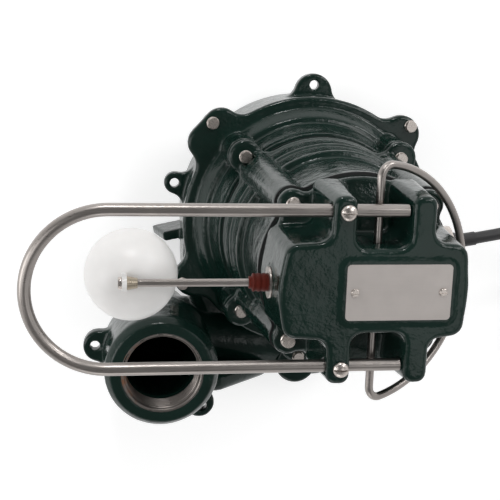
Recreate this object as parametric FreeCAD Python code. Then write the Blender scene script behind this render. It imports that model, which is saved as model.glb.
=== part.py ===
# Submersible sump pump, in millimetres: a volute casing on legs, a cover plate, a motor housing and a switch
# cap, stacked on one upright shaft, with a float, its guard loop, a carrying bail and a power cord.
# +Z is up, the floor is Z = 0 and the shaft stands on the Z axis. The float reaches to -X, and the threaded
# discharge hub stands at -X, -Y.
import FreeCAD
import Part
import math
import os

Vector = FreeCAD.Vector
UP = Vector(0, 0, 1)
ALONG_X = Vector(1, 0, 0)
ALONG_Y = Vector(0, 1, 0)

# Height stack of the castings
casing_bottom = 26.0
casing_height = 62.0
gasket_thickness = 1.0
cover_height = 44.0
housing_height = 117.0
cap_height = 57.0

# Fits
fit = 0.05
running_gap = 0.1
loose = 0.3

# Volute casing
volute_flange_radius = 101.0
volute_flange_thickness = 10.0
volute_bolt_circle = 112.0
volute_bolt_angles = (45.0, 135.0, 206.0, 268.0, 337.0)
volute_lug_radius = 15.5
volute_lug_reach = 102.0
volute_lug_blend = 14.0
wide_lug = 1
wide_lug_angle = 138.0
wide_lug_spread = 5.0
wide_lug_radius = 13.8
wide_lug_reach = 105.8
casing_flange_inset = 2.5
casing_flange_round = 2.5
scroll_radius = 99.0
scroll_bore = 88.0
bulge_radius = 106.0
bulge_x = 8.0
bulge_y = -32.0
bulge_height = 50.0
casting_wall = 8.0
casting_round = 10.0
inlet_radius = 32.0
inlet_round = 3.0
duct_radius = 30.0
duct_bore = 25.0
duct_start_x = 14.0
duct_start_y = -108.0
volute_post_radius = 8.5
volute_post_reach = 108.0
volute_post_depth = 22.0

# Discharge hub with a 2 inch pipe thread
hub_x = -120.5
hub_y = -100.0
hub_top = 166.0
hub_bottom = 22.0
hub_radius = 43.0
hub_rim_radius = 38.6
hub_flare_height = 6.0
hub_collar_height = 66.0
hub_neck_radius = 34.0
hub_neck_slope = 10.0
hub_bore = 27.0
thread_radius = 28.6
thread_depth = 24.0
mouth_radius = 30.7
mouth_chamfer = 2.1
hub_clearance = 1.6
hub_edge_round = 4.0

# Mounting eyes: angle, reach of the plain hole, reach and radius of the lug round it
eye_thickness = 10.0
eye_hole = 3.8
eye_blend = 12.0
eye_round = 1.5
casing_eye_top = 66.0
casing_eyes = ((86.6, 108.2, 102.0, 15.2), (165.7, 109.0, 108.6, 8.8))
hub_eye_top = 124.0
hub_eyes = ((170.2, 50.1, 46.6, 12.5), (-50.9, 55.3, 51.8, 12.0))

# Legs, upright ribs under the castings: angle, start, reach at the top and at the floor
leg_thickness = 8.0
leg_inset = 4.0
casing_legs = ((192.0, 90.0, 114.5, 121.5), (62.0, 50.0, 90.0, 93.0), (318.0, 62.0, 100.0, 103.0))
outer_leg_top = 38.0
hub_leg = (236.0, 2.0, 27.0, 30.0)

# Cover plate between the casing and the motor housing: steps from the flange up to the top ring
cover_flange_thickness = 8.0
cover_flange_round = 2.5
cover_floor = 10.0
low_step_slope = 6.5
low_step_ledge = 4.0
low_step_height = 19.0
high_step_slope = 5.0
high_step_ledge = 2.5
high_step_height = 37.0
step_foot_round = 3.0
step_edge_round = 3.5
boss_foot_overlap = 1.0
cover_ring_wall = 8.0
seal_hub_radius = 24.0
seal_hub_height = 23.0
seal_pocket_radius = 17.0
seal_pocket_floor = 6.0
shaft_hole_gap = 2.0
ring_width = 3.0
ring_height = 1.5
ring_squeeze = 0.1

# Motor housing
housing_flange_ledge = 1.5
housing_flange_thickness = 9.0
housing_flange_round = 2.5
housing_bolt_ledge = 9.5
housing_lug_radius = 12.5
housing_lug_blend = 9.0
housing_lower_radius = 73.0
housing_middle_radius = 71.0
barrel_radius = 65.5
housing_lower_height = 32.0
housing_middle_height = 54.0
ledge_round = 0.6
shelf_rise = 0.5
shelf_foot_round = 3.0
shelf_edge_round = 1.0
barrel_wall = 10.5
bracket_ledge = 3.0
bracket_recess_depth = 14.0
snap_groove_depth = 1.5
housing_floor = 8.0
bearing_seat_rise = 4.0
bearing_hub_radius = 26.0
column_foot_radius = 14.0
column_foot_inset = 3.0
column_foot_rise = 2.0

# Cap joint, shared by the housing, the gasket and the cap
cap_bolt_inset = 1.5
cap_lug_radius = 11.0
cap_lug_blend = 8.0
diagonal_angles = (45.0, 135.0, 225.0, 315.0)

# Switch cap
lid_thickness = 9.0
lid_inset = 2.0
lid_lug_inset = 1.0
lid_round = 2.5
dome_inset = 3.5
dome_height = 9.0
dome_sink = 2.0
tower_left_inset = 3.3
tower_right_inset = 6.9
tower_left_corner_inset = 5.2
tower_right_corner_inset = 2.6
tower_half_width = 29.0
tower_shoulder = 31.0
tower_draft = 3.0
tower_round = 3.0
tower_corner_round = 8.5
tower_end_round = 60.0
ear_left_x = -22.3
ear_right_x = 27.3
ear_half_width = 7.4
ear_inset = 6.3
ear_tip_round = 6.2
pocket_wall_y = 26.5
ear_blend = 8.0
chamber_left_wall = 12.2
chamber_right_wall = 12.6
chamber_half_width = 18.0
chamber_roof = 8.0
chamber_recess_inset = 2.0
chamber_recess_depth = 4.0
chamber_corner = 5.0

# Hex bolts, all of one size
bolt_radius = 2.5
bolt_across_flats = 8.2
bolt_head_height = 4.4
bolt_washer_radius = 4.9
bolt_washer_height = 1.0
bolt_grip = 16.0
bolt_head_foot_share = 0.72
bolt_head_crown_share = 0.5
head_room = 0.9

# Guard loop
guard_rod_radius = 4.0
guard_inset = 10.0
guard_bend_x = -163.3
guard_end_x = 18.6
guard_drop = 8.0
guard_screw_x = -20.8
guard_screw_radius = 2.3
pan_head_radius = 5.0
pan_head_height = 2.6
slot_width = 1.2
slot_depth = 1.1

# Carrying bail
bail_rod_radius = 2.6
bail_gap = 10.5
bail_corner = 8.0
bail_pivot_x = 3.0
bail_drop = 18.0
bail_leg_depth = 5.0
bail_rest_angle = 26.0

# Float and its arm
arm_drop = 26.0
arm_radius = 2.4
arm_end_x = -157.0
arm_pivot_inset = 6.2
arm_lever_length = 20.0
arm_eye_radius = 5.0
arm_eye_half_width = 4.0
pivot_pin_radius = 1.5
pivot_pin_half_length = 12.0
arm_hole_radius = 8.0
end_nut_radius = 3.8
end_nut_thickness = 2.2
ball_radius = 30.0
ball_wall = 2.5
ball_x = -147.7
ball_below_arm = 34.5
ball_fin_thickness = 3.0
ball_fin_half_width = 5.5
collar_length = 6.6
collar_big_radius = 4.4
collar_small_radius = 3.1
boot_radius = 5.85
boot_nose_radius = 3.8
boot_nose_length = 2.4
boot_shoulder = 1.0
boot_nose_round = 0.6
boot_length = 12.0
boot_flange_radius = 9.0
boot_flange_thickness = 1.3
boss_radius = 11.0
boss_reach = 0.8
boot_plate_thickness = 1.2
boot_plate_radius = 10.0

# Switch in the cap
switch_length = 27.0
switch_height = 13.0
switch_floor = 3.0
switch_corner = 6.0
switch_round = 1.5
plunger_radius = 2.0
plunger_reach = 16.0
plunger_length = 17.5
plunger_bore_floor = 1.5

# Nameplate
plate_length = 66.4
plate_width = 35.2
plate_thickness = 0.8
plate_x = 13.2
plate_corner = 2.6
plate_screw_inset = 5.4
plate_screw_radius = 1.4
plate_screw_head = 2.6
plate_screw_height = 1.2
plate_screw_reach = 4.0
pad_height = 0.7
pad_border = 3.3
pad_round = 0.5

# Motor
rotor_radius = 30.5
air_gap = 0.5
core_rise = 32.0
core_bore = 12.0
end_ring_height = 5.0
end_ring_inner = 18.0
winding_inner = 33.0
winding_clearance = 7.5
winding_height = 16.0
winding_round = 5.0
shaft_radius = 8.0
shaft_top_drop = 6.0
impeller_shaft_radius = 7.0
shaft_tip_radius = 5.0
lower_bearing_bore = 8.5
lower_bearing_outer = 20.0
lower_bearing_width = 12.0
upper_bearing_bore = 7.5
upper_bearing_outer = 17.5
upper_bearing_width = 11.0
race_share = 0.3
ball_count = 8
bracket_thickness = 6.0
bracket_hub_radius = 22.0
bracket_hub_height = 14.0
snap_ring_thickness = 1.5
snap_ring_width = 3.6
snap_ring_opening = 30.0
protector_length = 16.0
protector_width = 10.0
protector_height = 5.0
protector_reach = 40.0

# Impeller and seal
impeller_radius = 50.0
impeller_hub_radius = 14.0
impeller_cover_gap = 3.0
impeller_height = 22.0
shroud_thickness = 5.0
vane_count = 6
vane_thickness = 4.0
vane_offset = 9.0
impeller_nut_across = 16.0
impeller_nut_height = 8.0
seal_seat_height = 7.0
seal_head_height = 5.0
seal_head_radius = 14.0
bellows_height = 11.0
bellows_radius = 12.5

# Cord and what holds it
cord_angle = 9.0
cord_drop = 30.0
cord_radius = 4.2
gland_boss_radius = 13.0
gland_boss_length = 3.5
gland_bore = 8.1
gland_nut_across = 23.0
gland_nut_length = 7.0
gland_bore_start = 10.0
relief_radius = 8.0
relief_end_radius = 4.8
relief_depth = 9.0
relief_length = 34.0
relief_shoulder = 3.0
relief_neck = 8.0
relief_shoulder_inset = 1.6
wire_radius = 1.4
wire_pitch = 3.2
wire_inset = 5.0
wire_bend_inset = 12.0
wire_last_run = 30.0
wire_last_drop = 2.0

# Coil of cord on the floor: layers of turns round its centre
coil_x = 291.0
coil_y = -112.0
coil_inner_radius = 35.0
turn_pitch = 9.1
layer_pitch = 9.1
turns_per_layer = 3.5
climb_turns = 0.5
coil_straight = 8.4

# Plug: a moulded body with two flat blades and a round pin
plug_length = 36.0
plug_width = 27.0
plug_height = 22.0
plug_round = 6.0
plug_end_round = 2.5
plug_relief_length = 26.0
plug_relief_radius = 6.5
blade_length = 17.5
blade_width = 6.3
blade_thickness = 1.5
blade_spacing = 12.7
blade_rise = 2.0
pin_extra = 3.0
ground_pin_radius = 2.4
ground_pin_drop = 11.9

cord_names = ("cord_lead", "cord_coil", "plug_body", "plug_blades")

# Heights and radii that follow from the sizes above
casing_top = casing_bottom + casing_height
cover_low = casing_top + gasket_thickness
housing_low = cover_low + cover_height
housing_top = housing_low + housing_height
cap_low = housing_top + gasket_thickness
cap_top = cap_low + cap_height
lid_top = cap_low + lid_thickness
guard_z = cap_top - guard_drop
bail_z = cap_top - bail_drop
arm_z = cap_top - arm_drop
duct_z = casing_bottom + duct_radius
plate_seat = cap_top + pad_height
housing_flange_radius = housing_lower_radius + housing_flange_ledge
housing_bolt_circle = housing_flange_radius + housing_bolt_ledge
high_step_radius = housing_flange_radius + high_step_ledge
high_step_foot_radius = high_step_radius + high_step_slope
low_step_radius = high_step_foot_radius + low_step_ledge
low_step_foot_radius = low_step_radius + low_step_slope
cover_inner_radius = high_step_radius - cover_ring_wall
motor_bore = barrel_radius - barrel_wall
bracket_recess = motor_bore + bracket_ledge
cap_bolt_circle = barrel_radius - cap_bolt_inset
lid_radius = barrel_radius - lid_inset
tower_left = barrel_radius - tower_left_inset
tower_right = barrel_radius - tower_right_inset
tower_left_corner = tower_left - tower_left_corner_inset
tower_right_corner = tower_right - tower_right_corner_inset
chamber_left = tower_left - chamber_left_wall
chamber_right = tower_right - chamber_right_wall
ear_reach = barrel_radius - ear_inset
guard_half_width = ear_reach - guard_inset
arm_pivot_x = arm_pivot_inset - tower_left
winding_outer = motor_bore - winding_clearance
core_low = housing_low + core_rise
core_high = housing_top - bracket_recess_depth - protector_height - winding_height
shaft_top = housing_top - shaft_top_drop
impeller_low = cover_low - impeller_cover_gap - impeller_height
bail_radius = barrel_radius + bail_gap
cord_height = housing_top - cord_drop
gland_boss_reach = barrel_radius + gland_boss_length
relief_inner_reach = gland_boss_reach - relief_depth
relief_end_reach = relief_inner_reach + relief_length
wire_reach = motor_bore - wire_inset


def polar(radius, degrees, z=0.0):
    angle = math.radians(degrees)
    return Vector(radius * math.cos(angle), radius * math.sin(angle), z)


def disc(radius, low, high, x=0.0, y=0.0):
    return Part.makeCylinder(radius, high - low, Vector(x, y, low), UP)


def rod(radius, start, end):
    return Part.makeCylinder(radius, (end - start).Length, start, end - start)


def cone(radius_low, radius_high, low, high, x=0.0, y=0.0):
    return Part.makeCone(radius_low, radius_high, high - low, Vector(x, y, low), UP)


def box(x_low, x_high, y_low, y_high, z_low, z_high):
    return Part.makeBox(x_high - x_low, y_high - y_low, z_high - z_low, Vector(x_low, y_low, z_low))


def fuse(pieces):
    return pieces[0].multiFuse(pieces[1:]).removeSplitter()


def cut(shape, holes):
    return shape.cut(Part.Compound(holes)) if len(holes) > 1 else shape.cut(holes[0])


def toward(start, end):
    return end.sub(start).normalize()


def rounded_outline(corners):
    """A closed outline through (point, radius) corners, each rounded by its own arc, or sharp at radius 0."""
    pieces = []
    ends = []
    for index, (point, radius) in enumerate(corners):
        if radius == 0:
            ends.append((point, point))
            continue
        before = toward(point, corners[index - 1][0])
        after = toward(point, corners[(index + 1) % len(corners)][0])
        half = before.getAngle(after) / 2
        reach = radius / math.tan(half)
        start = point + before * reach
        end = point + after * reach
        crown = point + (before + after).normalize() * (radius / math.sin(half) - radius)
        pieces.append(Part.Arc(start, crown, end).toShape())
        ends.append((start, end))
    for index, (start, end) in enumerate(ends):
        pieces.append(Part.LineSegment(end, ends[(index + 1) % len(ends)][0]).toShape())
    return Part.Wire(Part.__sortEdges__(pieces))


def turned(profile, axis_start=Vector(0, 0, 0), axis=UP):
    """A solid turned about an axis from (radius, height) corners, or (radius, height, rounding) ones."""
    corners = [(Vector(radius, 0, height), rounding[0] if rounding else 0.0)
               for radius, height, *rounding in profile]
    solid = Part.Face(rounded_outline(corners)).revolve(Vector(0, 0, 0), UP, 360)
    solid.Placement = FreeCAD.Placement(axis_start, FreeCAD.Rotation(UP, axis))
    return Part.Solid(solid) if solid.ShapeType == "Shell" else solid


def prism(wire, low, high):
    face = Part.Face(wire)
    face.translate(Vector(0, 0, low))
    return face.extrude(Vector(0, 0, high - low))


def level_edges(shape, height):
    """The edges of a shape that lie flat at one height."""
    found = []
    for edge in shape.Edges:
        bounds = edge.BoundBox
        if abs(bounds.ZMin - height) < 0.01 and abs(bounds.ZMax - height) < 0.01:
            found.append(edge)
    return found


def upright_edges(shape):
    """The straight edges of a box that run its whole height."""
    height = shape.BoundBox.ZLength
    return [edge for edge in shape.Edges if edge.BoundBox.ZLength > 0.99 * height]


def rounded_at(shape, radius, height):
    return shape.makeFillet(radius, level_edges(shape, height))


def lobed_wire(ring_radius, lobes):
    """A circle with lugs on it, each blended in by two arcs.

    A lobe is (angle, reach, lug radius, blend, spread). A spread lug has two round corners, each that many
    degrees from its angle, with a straight edge between them."""
    edges = []
    joints = []
    for angle, reach, lug_radius, blend, spread in lobes:
        ring_side = ring_radius + blend
        lug_side = lug_radius + blend
        cosine = (ring_side ** 2 + reach ** 2 - lug_side ** 2) / (2 * ring_side * reach)
        half = math.degrees(math.acos(cosine))
        sides = []
        for side in (-1, 1):
            centre = polar(reach, angle + side * spread)
            joint = angle + side * (spread + half)
            blend_centre = polar(ring_side, joint)
            on_ring = polar(ring_radius, joint)
            on_lug = blend_centre + toward(blend_centre, centre) * blend
            middle = toward(blend_centre, on_ring) + toward(blend_centre, on_lug)
            edges.append(Part.Arc(on_ring, blend_centre + middle.normalize() * blend, on_lug))
            crown = centre + polar(lug_radius, angle)
            if spread:
                middle = toward(centre, on_lug) + toward(centre, crown)
                edges.append(Part.Arc(on_lug, centre + middle.normalize() * lug_radius, crown))
            sides.append((joint, on_ring, on_lug, crown))
        first, last = sides
        if spread:
            edges.append(Part.LineSegment(first[3], last[3]))
        else:
            edges.append(Part.Arc(first[2], first[3], last[2]))
        joints.append((first[0], first[1], last[0], last[1]))
    for index, (start_angle, start, end_angle, end) in enumerate(joints):
        following = joints[(index + 1) % len(joints)]
        next_angle = following[0]
        while next_angle < end_angle:
            next_angle += 360.0
        edges.append(Part.Arc(end, polar(ring_radius, (end_angle + next_angle) / 2), following[1]))
    return Part.Wire(Part.__sortEdges__([edge.toShape() for edge in edges]))


def rounded_wire(corners, height):
    """A closed level outline through (x, y, radius) corners."""
    return rounded_outline([(Vector(x, y, height), radius) for x, y, radius in corners])


def route_path(points, print_as=None):
    """Straight runs joined by tangent arcs, each as large as its two runs allow."""
    pieces = []
    radii = []
    last = points[0]
    for index in range(1, len(points) - 1):
        point = points[index]
        before = points[index - 1].sub(point)
        after = points[index + 1].sub(point)
        reach = 0.45 * min(before.Length, after.Length)
        half_turn = (math.pi - before.getAngle(after)) / 2
        radius = reach / math.tan(half_turn)
        radii.append(radius)
        before.normalize()
        after.normalize()
        start = point + before * reach
        end = point + after * reach
        middle = (before + after).normalize()
        crown = point + middle * (radius / math.cos(half_turn) - radius)
        pieces.append(Part.LineSegment(last, start).toShape())
        pieces.append(Part.Arc(start, crown, end).toShape())
        last = end
    pieces.append(Part.LineSegment(last, points[-1]).toShape())
    if print_as:
        print(print_as, "arc radii:", ", ".join(f"{radius:.0f}" for radius in radii))
    return Part.Wire(pieces)


def tube_on(path, radius, heading):
    start = path.OrderedVertexes[0].Point
    section = Part.Wire(Part.makeCircle(radius, start, heading))
    return path.makePipeShell([section], True, False)


def hex_prism(across_flats, low, high, x=0.0, y=0.0, turn=0.0):
    corner = across_flats / math.sqrt(3)
    points = [polar(corner, turn + 60 * step, low) + Vector(x, y, 0) for step in range(6)]
    face = Part.Face(Part.makePolygon(points + [points[0]]))
    return face.extrude(Vector(0, 0, high - low))


def hex_bolt(x, y, seat, grip):
    """A flange head hex bolt that stands on its seat and reaches down by its grip."""
    crown = seat + bolt_head_height
    foot_radius = bolt_across_flats * bolt_head_foot_share
    crown_radius = bolt_across_flats * bolt_head_crown_share
    head = hex_prism(bolt_across_flats, seat, crown, x, y).common(cone(foot_radius, crown_radius, seat, crown, x, y))
    washer = disc(bolt_washer_radius, seat, seat + bolt_washer_height, x, y)
    washer = washer.makeChamfer(0.5 * bolt_washer_height, level_edges(washer, seat + bolt_washer_height))
    shank = disc(bolt_radius, seat - grip, seat, x, y)
    return fuse([head, washer, shank])


def pan_screw(x, y, seat, head_radius, head_height, shank_radius, shank_end):
    head = disc(head_radius, seat, seat + head_height, x, y)
    head = rounded_at(head, 0.6 * head_height, seat + head_height)
    slot = box(x - head_radius, x + head_radius, y - slot_width / 2, y + slot_width / 2,
               seat + head_height - min(slot_depth, head_height / 2), seat + 2 * head_height)
    return fuse([head.cut(slot), disc(shank_radius, shank_end, seat, x, y)])


def bolt_places(circle, angles):
    return [polar(circle, angle) for angle in angles]


volute_bolt_places = bolt_places(volute_bolt_circle, volute_bolt_angles)
housing_bolt_places = bolt_places(housing_bolt_circle, diagonal_angles)
cap_bolt_places = bolt_places(cap_bolt_circle, diagonal_angles)


def bolt_holes(places, low, high):
    return [disc(bolt_radius + fit, low, high, place.x, place.y) for place in places]


def volute_outline(inset=0.0):
    """The flange outline that the casing and the cover share; one lug is wider than the others."""
    lobes = [(angle, volute_lug_reach, volute_lug_radius - inset, volute_lug_blend, 0.0)
             for angle in volute_bolt_angles]
    lobes[wide_lug] = (wide_lug_angle, wide_lug_reach, wide_lug_radius - inset, volute_lug_blend,
                       wide_lug_spread)
    return lobed_wire(volute_flange_radius - inset, lobes)


def diagonal_outline(ring_radius, reach, lug_radius, blend):
    return lobed_wire(ring_radius, [(angle, reach, lug_radius, blend, 0.0) for angle in diagonal_angles])


def cap_joint_outline():
    return diagonal_outline(barrel_radius, cap_bolt_circle, cap_lug_radius, cap_lug_blend)


def lid_outline():
    """The cap's lid, a little smaller than the joint, so that the gasket shows round it."""
    return diagonal_outline(lid_radius, cap_bolt_circle, cap_lug_radius - lid_lug_inset, cap_lug_blend)


# Volute casing

def eye_plates(ring_radius, eyes, top):
    """Lugs that stand out from a round wall, with their upper edges rounded."""
    lobes = [(angle, reach, radius, eye_blend, 0.0) for angle, hole_reach, reach, radius in eyes]
    return rounded_at(prism(lobed_wire(ring_radius, lobes), top - eye_thickness, top), eye_round, top)


def eye_holes(eyes, top):
    places = [polar(hole_reach, angle) for angle, hole_reach, reach, radius in eyes]
    return [disc(eye_hole, top - 2 * eye_thickness, top + 1, place.x, place.y) for place in places]


def at_hub(shape):
    shape.translate(Vector(hub_x, hub_y, 0))
    return shape


def discharge_hub():
    collar_low = hub_top - hub_collar_height
    body = turned([
        (0, hub_bottom),
        (hub_neck_radius, hub_bottom),
        (hub_neck_radius, collar_low - hub_neck_slope),
        (hub_radius, collar_low),
        (hub_radius, hub_top - hub_flare_height),
        (hub_rim_radius, hub_top),
        (0, hub_top),
    ])
    body = rounded_at(body, casting_round, hub_bottom)
    body = rounded_at(body, hub_edge_round, hub_top - hub_flare_height)
    return at_hub(fuse([body, eye_plates(hub_radius - 1, hub_eyes, hub_eye_top)]))


def hub_passage():
    mouth_low = hub_top - mouth_chamfer
    elbow = Part.makeSphere(hub_bore, Vector(hub_x, hub_y, duct_z))
    duct = rod(duct_bore, Vector(duct_start_x, duct_start_y, duct_z), Vector(hub_x, hub_y, duct_z))
    return [elbow, duct, disc(hub_bore, duct_z, hub_top, hub_x, hub_y),
            disc(thread_radius, hub_top - thread_depth, hub_top, hub_x, hub_y),
            cone(thread_radius, mouth_radius, mouth_low, hub_top, hub_x, hub_y)]


def leg(angle, start, top_reach, floor_reach, top):
    """A rib with an upright inner edge and a slanted outer one, turned to its angle."""
    half = leg_thickness / 2
    profile = [Vector(start, half, 0), Vector(floor_reach, half, 0), Vector(top_reach, half, top),
               Vector(start, half, top)]
    rib = Part.Face(Part.makePolygon(profile + [profile[0]])).extrude(Vector(0, -leg_thickness, 0))
    corners = [edge for edge in rib.Edges
               if edge.BoundBox.ZLength > 0.9 * top and edge.BoundBox.XMin > start + 1]
    rib = rib.makeFillet(leg_inset / 2, corners)
    rib.rotate(Vector(0, 0, 0), UP, angle)
    return rib


def legs():
    outer, *inner = casing_legs
    ribs = [leg(*outer, outer_leg_top)]
    ribs += [leg(*size, casing_bottom + leg_inset) for size in inner]
    return ribs + [at_hub(leg(*hub_leg, hub_bottom + leg_inset))]


def volute_casing():
    flange = prism(volute_outline(casing_flange_inset), casing_top - volute_flange_thickness, casing_top)
    flange = rounded_at(flange, casing_flange_round, casing_top - volute_flange_thickness)
    scroll = rounded_at(disc(scroll_radius, casing_bottom, casing_top), casting_round, casing_bottom)
    bulge_top = casing_bottom + bulge_height
    bulge = disc(bulge_radius, casing_bottom, bulge_top, bulge_x, bulge_y)
    bulge = bulge.makeFillet(casting_round, level_edges(bulge, casing_bottom) + level_edges(bulge, bulge_top))
    duct = rod(duct_radius, Vector(duct_start_x, duct_start_y, duct_z), Vector(hub_x, hub_y, duct_z))
    posts = [disc(volute_post_radius, casing_top - volute_post_depth, casing_top, place.x, place.y)
             for place in bolt_places(volute_post_reach, volute_bolt_angles)]
    eyes = eye_plates(scroll_radius, casing_eyes, casing_eye_top)
    body = fuse([scroll, flange, bulge, duct, eyes, discharge_hub()] + posts + legs())
    floor = casing_bottom + casting_wall
    chamber = disc(scroll_bore, floor, casing_top)
    side = disc(bulge_radius - casting_wall, floor, bulge_top - casting_wall, bulge_x, bulge_y)
    inlet = disc(inlet_radius, casing_bottom, floor)
    lip = cone(inlet_radius + inlet_round, inlet_radius, casing_bottom, casing_bottom + inlet_round)
    holes = bolt_holes(volute_bolt_places, casing_top - bolt_grip, casing_top)
    holes += eye_holes(casing_eyes, casing_eye_top)
    holes += [at_hub(hole) for hole in eye_holes(hub_eyes, hub_eye_top)]
    return cut(body, [chamber, side, inlet, lip] + hub_passage() + holes)


def volute_gasket():
    ring = prism(volute_outline(casing_flange_inset), casing_top, cover_low)
    hub_room = disc(hub_radius + hub_clearance, casing_top, cover_low, hub_x, hub_y)
    return cut(ring, [disc(scroll_bore, casing_top, cover_low), hub_room]
               + bolt_holes(volute_bolt_places, casing_top, cover_low))


# Cover plate

def cover_plate():
    flange_top = cover_low + cover_flange_thickness
    flange = prism(volute_outline(), cover_low, flange_top)
    flange = rounded_at(flange, cover_flange_round, flange_top)
    low_step = cover_low + low_step_height
    high_step = cover_low + high_step_height
    foot_end = low_step_foot_radius + step_foot_round
    steps = turned([
        (0, cover_low),
        (foot_end, cover_low),
        (foot_end, flange_top),
        (low_step_foot_radius, flange_top, step_foot_round),
        (low_step_radius, low_step, step_edge_round),
        (high_step_foot_radius, low_step, step_foot_round / 2),
        (high_step_radius, high_step, step_edge_round),
        (high_step_radius, housing_low),
        (0, housing_low),
    ])
    bosses = [disc(housing_lug_radius, flange_top - boss_foot_overlap, housing_low, place.x, place.y)
              for place in housing_bolt_places]
    body = fuse([flange, steps] + bosses)
    floor = cover_low + cover_floor
    seal_floor = cover_low + seal_pocket_floor
    seal_hub = disc(seal_hub_radius, floor, cover_low + seal_hub_height)
    well = disc(cover_inner_radius, floor, housing_low).cut(seal_hub)
    shaft_hole = disc(shaft_radius + shaft_hole_gap, cover_low, seal_floor)
    pocket = disc(seal_pocket_radius, seal_floor, cover_low + seal_hub_height)
    hub_room = disc(hub_radius + hub_clearance, cover_low, flange_top, hub_x, hub_y)
    holes = bolt_holes(volute_bolt_places, cover_low, flange_top + 1)
    holes += bolt_holes(housing_bolt_places, housing_low - bolt_grip, housing_low)
    return cut(body, [well, shaft_hole, pocket, hub_room] + holes)


def flat_ring(middle, width, low, high):
    return disc(middle + width / 2, low, high).cut(disc(middle - width / 2, low, high))


def ring_middle():
    return (cover_inner_radius + high_step_radius) / 2


def housing_ring():
    """The O-ring under the motor housing, square in section as it sits squeezed in its groove."""
    return flat_ring(ring_middle(), ring_width, housing_low, housing_low + ring_height)


# Motor housing

def gland_direction():
    return polar(1.0, cord_angle)


def cord_point(reach, z=cord_height):
    return polar(reach, cord_angle, z)


def housing_column(angle):
    foot_centre = polar(housing_lower_radius - column_foot_inset, angle, housing_low + column_foot_rise)
    foot = Part.Wire(Part.makeCircle(column_foot_radius, foot_centre, UP))
    head = Part.Wire(Part.makeCircle(cap_lug_radius, polar(cap_bolt_circle, angle, housing_top), UP))
    return Part.makeLoft([foot, head], True, True)


def motor_housing():
    flange_top = housing_low + housing_flange_thickness
    flange = prism(diagonal_outline(housing_flange_radius, housing_bolt_circle, housing_lug_radius,
                                    housing_lug_blend), housing_low, flange_top)
    flange = rounded_at(flange, housing_flange_round, flange_top)
    lower_top = housing_low + housing_lower_height
    middle_top = housing_low + housing_middle_height
    barrel = turned([
        (0, housing_low),
        (housing_lower_radius, housing_low),
        (housing_lower_radius, lower_top, ledge_round),
        (housing_middle_radius, lower_top, ledge_round),
        (housing_middle_radius, middle_top, shelf_edge_round),
        (barrel_radius, middle_top + shelf_rise, shelf_foot_round),
        (barrel_radius, housing_top),
        (0, housing_top),
    ])
    columns = [housing_column(angle) for angle in diagonal_angles]
    gland_boss = rod(gland_boss_radius, cord_point(motor_bore), cord_point(gland_boss_reach))
    body = fuse([flange, barrel, gland_boss] + columns)
    floor = housing_low + housing_floor
    seat_low = lower_bearing_low()
    recess_low = bracket_low()
    bearing_hub = disc(bearing_hub_radius, floor, seat_low + lower_bearing_width)
    motor_room = disc(motor_bore, floor, housing_top).cut(bearing_hub)
    ring_seat = flat_ring(ring_middle(), ring_width + 2 * ring_squeeze, housing_low, housing_low + ring_height)
    snap_low = recess_low + bracket_thickness
    rooms = [motor_room, disc(bracket_recess, recess_low, housing_top), ring_seat,
             disc(bracket_recess + snap_groove_depth, snap_low, snap_low + snap_ring_thickness + fit),
             disc(lower_bearing_outer + fit, seat_low, seat_low + lower_bearing_width),
             disc(shaft_radius + shaft_hole_gap, housing_low, seat_low),
             rod(gland_bore, cord_point(motor_bore - gland_bore_start), cord_point(gland_boss_reach))]
    room_top = flange_top + 3 * bolt_head_height
    rooms += [disc(bolt_washer_radius + head_room, flange_top, room_top, place.x, place.y)
              for place in housing_bolt_places]
    holes = bolt_holes(housing_bolt_places, housing_low, flange_top + 1)
    holes += bolt_holes(cap_bolt_places, housing_top - bolt_grip, housing_top)
    return cut(body, rooms + holes)


def cap_gasket():
    ring = prism(cap_joint_outline(), housing_top, cap_low)
    holes = bolt_holes(cap_bolt_places, housing_top, cap_low)
    return cut(ring, [disc(bracket_recess, housing_top, cap_low)] + holes)


# Switch cap

def tower_wire(grow, height):
    """The outline of the cap's tower with its four ears, grown outwards by the draft of its walls."""
    left_ear = (ear_left_x - ear_half_width - grow, ear_left_x + ear_half_width + grow)
    right_ear = (ear_right_x - ear_half_width - grow, ear_right_x + ear_half_width + grow)
    shoulder = tower_shoulder + grow
    corner_y = tower_half_width + grow
    tip = ear_reach + grow
    wall = pocket_wall_y + grow
    half = [
        (tower_right + grow, 0, tower_end_round),
        (tower_right_corner + grow, corner_y - 0.6, tower_corner_round),
        (right_ear[1], shoulder, ear_blend),
        (right_ear[1], tip, ear_tip_round),
        (right_ear[0], tip, ear_tip_round),
        (right_ear[0], wall, ear_blend),
        (left_ear[1], wall, ear_blend),
        (left_ear[1], tip, ear_tip_round),
        (left_ear[0], tip, ear_tip_round),
        (left_ear[0], shoulder, ear_blend),
        (-tower_left_corner - grow, corner_y, tower_corner_round),
        (-tower_left - grow, 0, tower_end_round),
    ]
    mirrored = [(x, -y, radius) for x, y, radius in reversed(half[1:-1])]
    return rounded_wire(half + mirrored, height)


def cap_tower():
    foot = cap_low + lid_thickness / 2
    tower = Part.makeLoft([tower_wire(tower_draft, foot), tower_wire(0.0, cap_top)], True, True)
    return rounded_at(tower, tower_round, cap_top)


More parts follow.
